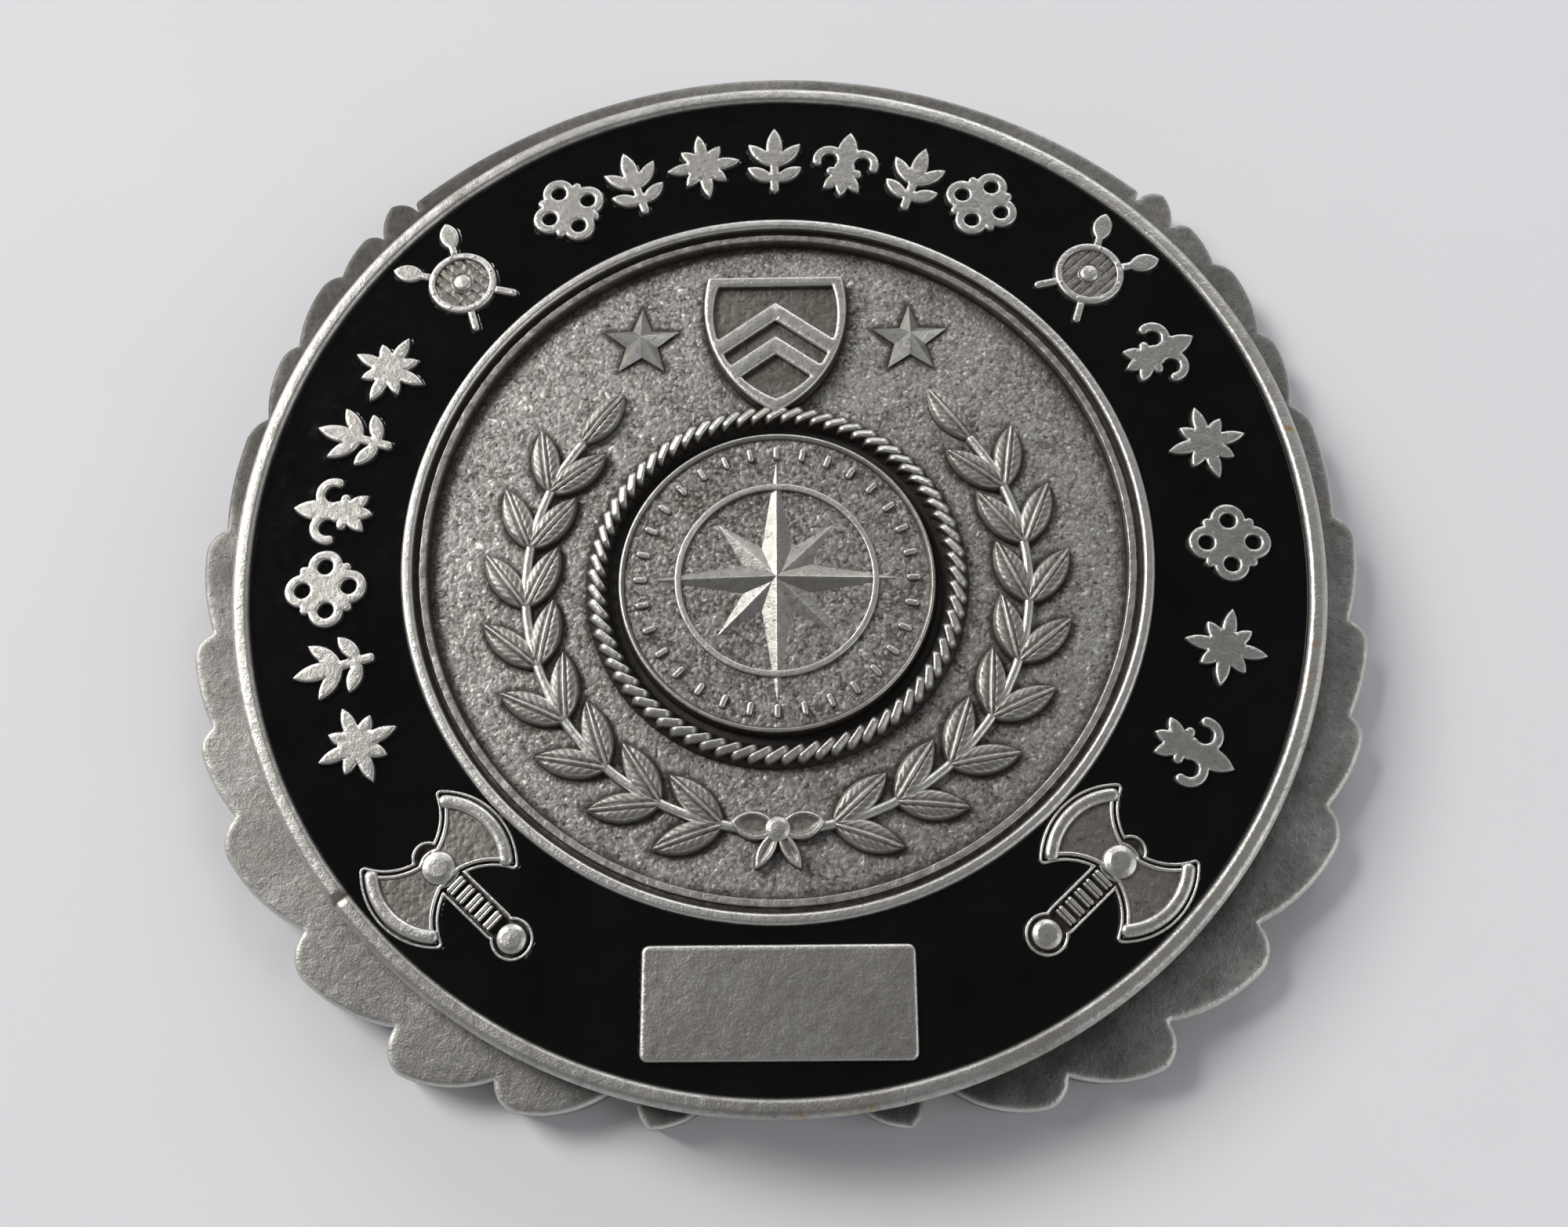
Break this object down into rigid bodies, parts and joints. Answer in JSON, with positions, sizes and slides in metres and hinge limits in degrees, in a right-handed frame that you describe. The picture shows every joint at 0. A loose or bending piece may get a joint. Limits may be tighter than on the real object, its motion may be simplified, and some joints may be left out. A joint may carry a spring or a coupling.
{
  "type": "challenge coin",
  "caption": "Layered keepsake coin: a round medallion with black enamel band, rope ring, wind rose and laurel, riveted onto a feather-edged wing plate.",
  "frame": {"origin": "centre of the flat back face, on the medallion's axis", "axes": "+Z out of the struck front face, +Y towards the top of the design, +X to its right"},
  "size_m": [0.056, 0.0541, 0.005],
  "materials": {
    "antique_silver": "antique silver plating, dark in the recesses and worn bright on the raised edges",
    "satin_silver": "dull satin antique silver",
    "black_enamel": "glossy black soft enamel",
    "rivet_steel": "plain steel, head turned flat"
  },
  "bodies": {
    "root": {"medallion": "antique_silver", "wing_plate": "satin_silver", "ring_enamel": "black_enamel", "rivet_1": "rivet_steel", "rivet_2": "rivet_steel", "rivet_3": "rivet_steel"}
  },
  "joints": []
}
